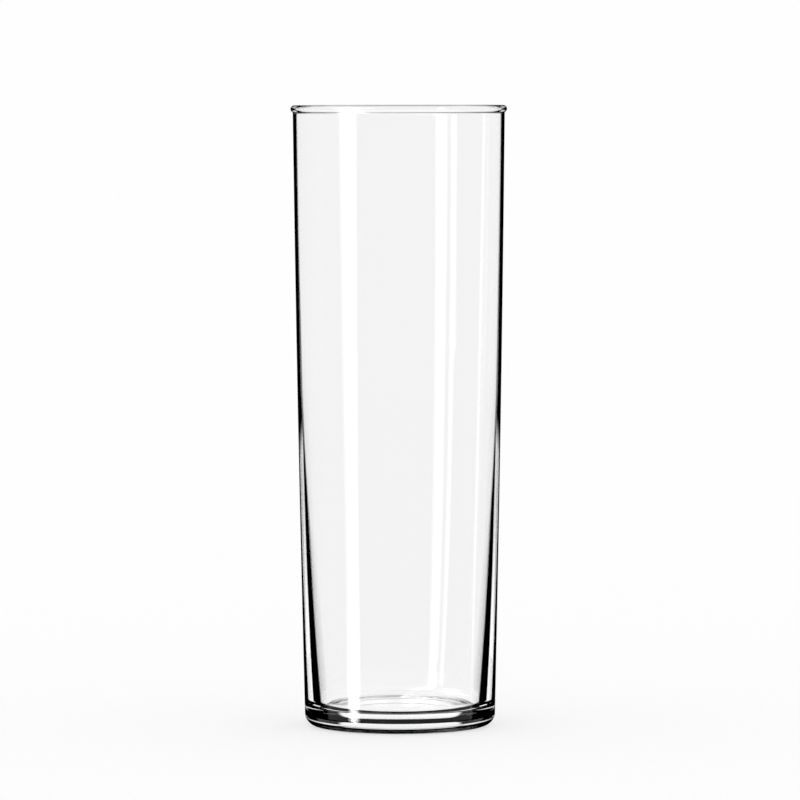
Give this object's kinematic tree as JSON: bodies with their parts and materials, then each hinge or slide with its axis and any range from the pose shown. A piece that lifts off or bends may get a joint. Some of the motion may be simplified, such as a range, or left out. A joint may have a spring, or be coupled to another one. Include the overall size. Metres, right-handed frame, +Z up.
{
  "type": "zombie glass",
  "caption": "Tall, straight-sided clear glass tumbler with a slight taper, a rolled bead rim and a heavy base with a rounded heel, for long mixed drinks.",
  "frame": {"origin": "centre of the foot, on the surface that the glass stands on", "axes": "+Z up the glass's axis, from the foot to the rim; the glass is round, so +X and +Y may face any way"},
  "size_m": [0.063, 0.063, 0.181],
  "materials": {
    "clear_glass": "clear, colourless soda-lime glass, fire-polished"
  },
  "bodies": {
    "root": {"tumbler": "clear_glass"}
  },
  "joints": []
}
